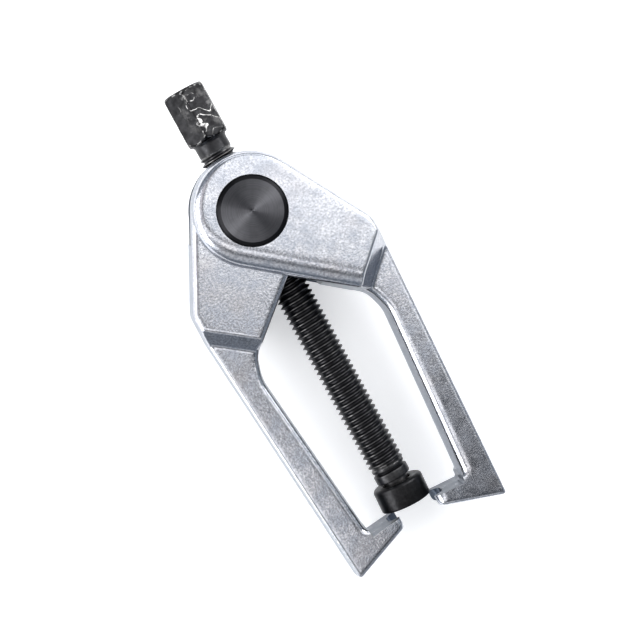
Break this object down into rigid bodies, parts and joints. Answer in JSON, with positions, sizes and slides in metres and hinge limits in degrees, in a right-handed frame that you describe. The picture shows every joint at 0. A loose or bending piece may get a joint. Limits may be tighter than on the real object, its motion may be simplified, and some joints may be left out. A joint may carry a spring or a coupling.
{
  "type": "ball joint separator",
  "caption": "Scissor-type ball joint separator: forged hooked jaws hinged on a cross-drilled barrel, with a hex-headed forcing screw ending in a swivelling foot between the hooks.",
  "frame": {"origin": "centre of the barrel's rear end face, which is the lowest face of the tool as it lies", "axes": "+Z along the jaws' hinge axis towards the front, +Y along the forcing screw towards its hexagon, +X to the right"},
  "size_m": [0.0702, 0.1734, 0.04],
  "materials": {
    "zinc_plate": "bright zinc plating over a shot-blasted forging",
    "black_oxide": "black oxide on turned steel, rubbed bright on its corners",
    "spring_steel": "plain spring steel"
  },
  "bodies": {
    "barrel": {"pivot_barrel": "black_oxide"},
    "jaw_right": {"jaw_right": "zinc_plate"},
    "jaw_left": {"jaw_left": "zinc_plate"},
    "ring": {"foot_ring": "spring_steel"},
    "screw": {"forcing_screw": "black_oxide"},
    "foot": {"swivel_foot": "black_oxide"}
  },
  "joints": [
    {"name": "jaw_right_swing", "type": "hinge", "parent": "barrel", "child": "jaw_right", "pos_m": [0, 0, 0.02], "axis": [0, 0, 1], "range_deg": [-2.5, 30]},
    {"name": "jaw_left_swing", "type": "hinge", "parent": "barrel", "child": "jaw_left", "pos_m": [0, 0, 0.02], "axis": [0, 0, -1], "range_deg": [-2.5, 30]},
    {"name": "screw_feed", "type": "slide", "parent": "barrel", "child": "ring", "axis": [0, 1, 0], "range_m": [-0.0006, 0.06]},
    {"name": "screw_turn", "type": "hinge", "parent": "ring", "child": "screw", "pos_m": [0, 0, 0.02], "axis": [0, 1, 0], "range_deg": [-90, 11000]},
    {"name": "foot_tilt", "type": "hinge", "parent": "ring", "child": "foot", "pos_m": [0, -0.108, 0.02], "axis": [0, 0, 1], "range_deg": [-1.5, 8]}
  ],
  "couplings": [
    {"joint": "screw_feed", "follows": "screw_turn", "m_per_rad": 0.00031097}
  ]
}
